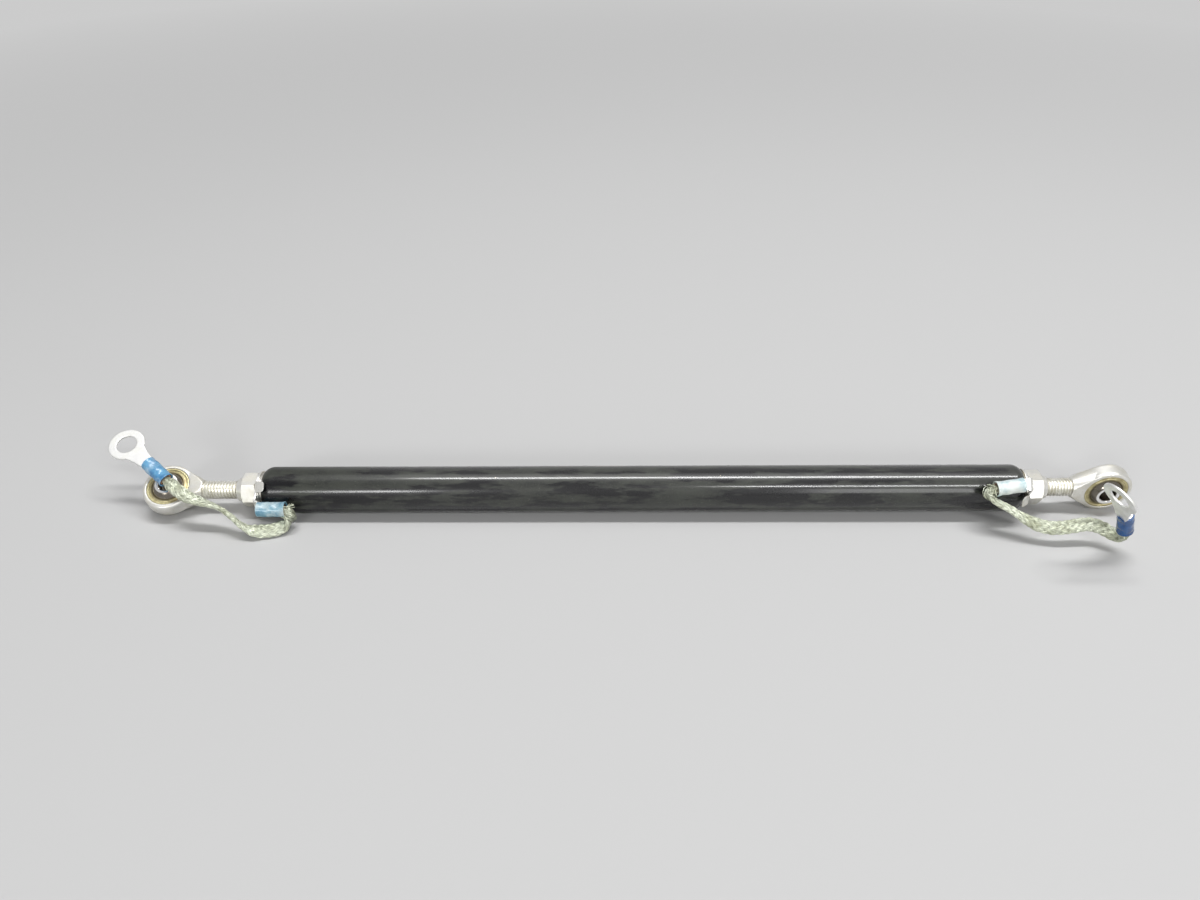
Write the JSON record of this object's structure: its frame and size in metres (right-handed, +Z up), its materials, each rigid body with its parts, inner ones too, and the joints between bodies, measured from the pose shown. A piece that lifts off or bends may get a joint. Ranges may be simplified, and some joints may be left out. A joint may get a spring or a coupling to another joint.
{
  "type": "aileron control rod",
  "caption": "Round push-pull control rod with a spherical rod end, jam nut, tab washer and bonding strap at each end.",
  "frame": {"origin": "centre of the left ball, on the axis of the rod", "axes": "+X along the rod from the left ball to the right ball, +Z up as the rod lies on a bench"},
  "size_m": [0.3335, 0.0501, 0.0324],
  "materials": {
    "black_paint": "gloss black enamel, dusty and lightly scuffed",
    "plated_steel": "bright cadmium or zinc plate over machined steel",
    "bare_steel": "machined steel",
    "bearing_bronze": "dull bronze",
    "polished_steel": "ground and polished hard steel",
    "tinned_copper": "tin plated copper, soft shine",
    "bare_copper": "plain copper",
    "blue_sleeve": "translucent blue nylon, slightly dusty",
    "tinned_braid": "woven tinned copper strands"
  },
  "bodies": {
    "rod": {"tube": "black_paint", "left_end_fitting": "bare_steel", "left_rod_end_body": "plated_steel", "left_race": "bearing_bronze", "left_jam_nut": "plated_steel", "left_tab_washer": "plated_steel", "left_clamped_terminal": "tinned_copper", "left_clamped_terminal_inner_sleeve": "bare_copper", "left_clamped_terminal_sleeve": "blue_sleeve", "left_free_terminal": "tinned_copper", "left_free_terminal_inner_sleeve": "bare_copper", "left_free_terminal_sleeve": "blue_sleeve", "left_bond_strap": "tinned_braid", "right_end_fitting": "bare_steel", "right_rod_end_body": "plated_steel", "right_race": "bearing_bronze", "right_jam_nut": "plated_steel", "right_tab_washer": "plated_steel", "right_clamped_terminal": "tinned_copper", "right_clamped_terminal_inner_sleeve": "bare_copper", "right_clamped_terminal_sleeve": "blue_sleeve", "right_free_terminal": "tinned_copper", "right_free_terminal_inner_sleeve": "bare_copper", "right_free_terminal_sleeve": "blue_sleeve", "right_bond_strap": "tinned_braid"},
    "left_ball": {"left_ball": "polished_steel"},
    "right_ball": {"right_ball": "polished_steel"}
  },
  "joints": [
    {"name": "left_ball_tilt", "type": "hinge", "parent": "rod", "child": "left_ball", "pos_m": [0, 0, 0], "axis": [1, 0, 0], "range_deg": [-12, 12]},
    {"name": "right_ball_tilt", "type": "hinge", "parent": "rod", "child": "right_ball", "pos_m": [0.3053, 0, 0], "axis": [1, 0, 0], "range_deg": [-12, 12]}
  ]
}
